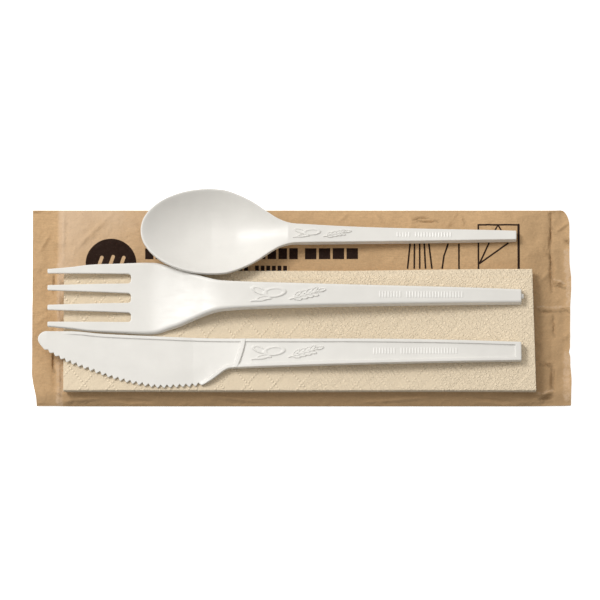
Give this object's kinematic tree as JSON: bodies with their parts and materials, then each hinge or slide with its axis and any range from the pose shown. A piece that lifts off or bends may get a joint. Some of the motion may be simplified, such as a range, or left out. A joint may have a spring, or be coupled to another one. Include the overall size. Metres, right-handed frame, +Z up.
{
  "type": "plastic cutlery pack",
  "caption": "Moulded white plastic fork, knife and spoon with a folded paper napkin, laid out on their closed kraft paper sleeve.",
  "frame": {"origin": "middle of the sleeve's underside, on the flat face of its back seam strip", "axes": "+X along the cutlery towards the handle ends, +Y from the knife towards the spoon, +Z up"},
  "size_m": [0.1868, 0.0747, 0.0151],
  "materials": {
    "kraft_paper": "brown kraft paper, matt, fine fibres and creases, dark brown print",
    "napkin_tissue": "unbleached crepe tissue, matt, embossed with dots",
    "white_plastic": "warm white moulded plastic, satin"
  },
  "bodies": {
    "root": {"kraft_sleeve": "kraft_paper", "napkin": "napkin_tissue", "fork": "white_plastic", "knife": "white_plastic", "spoon": "white_plastic"}
  },
  "joints": []
}
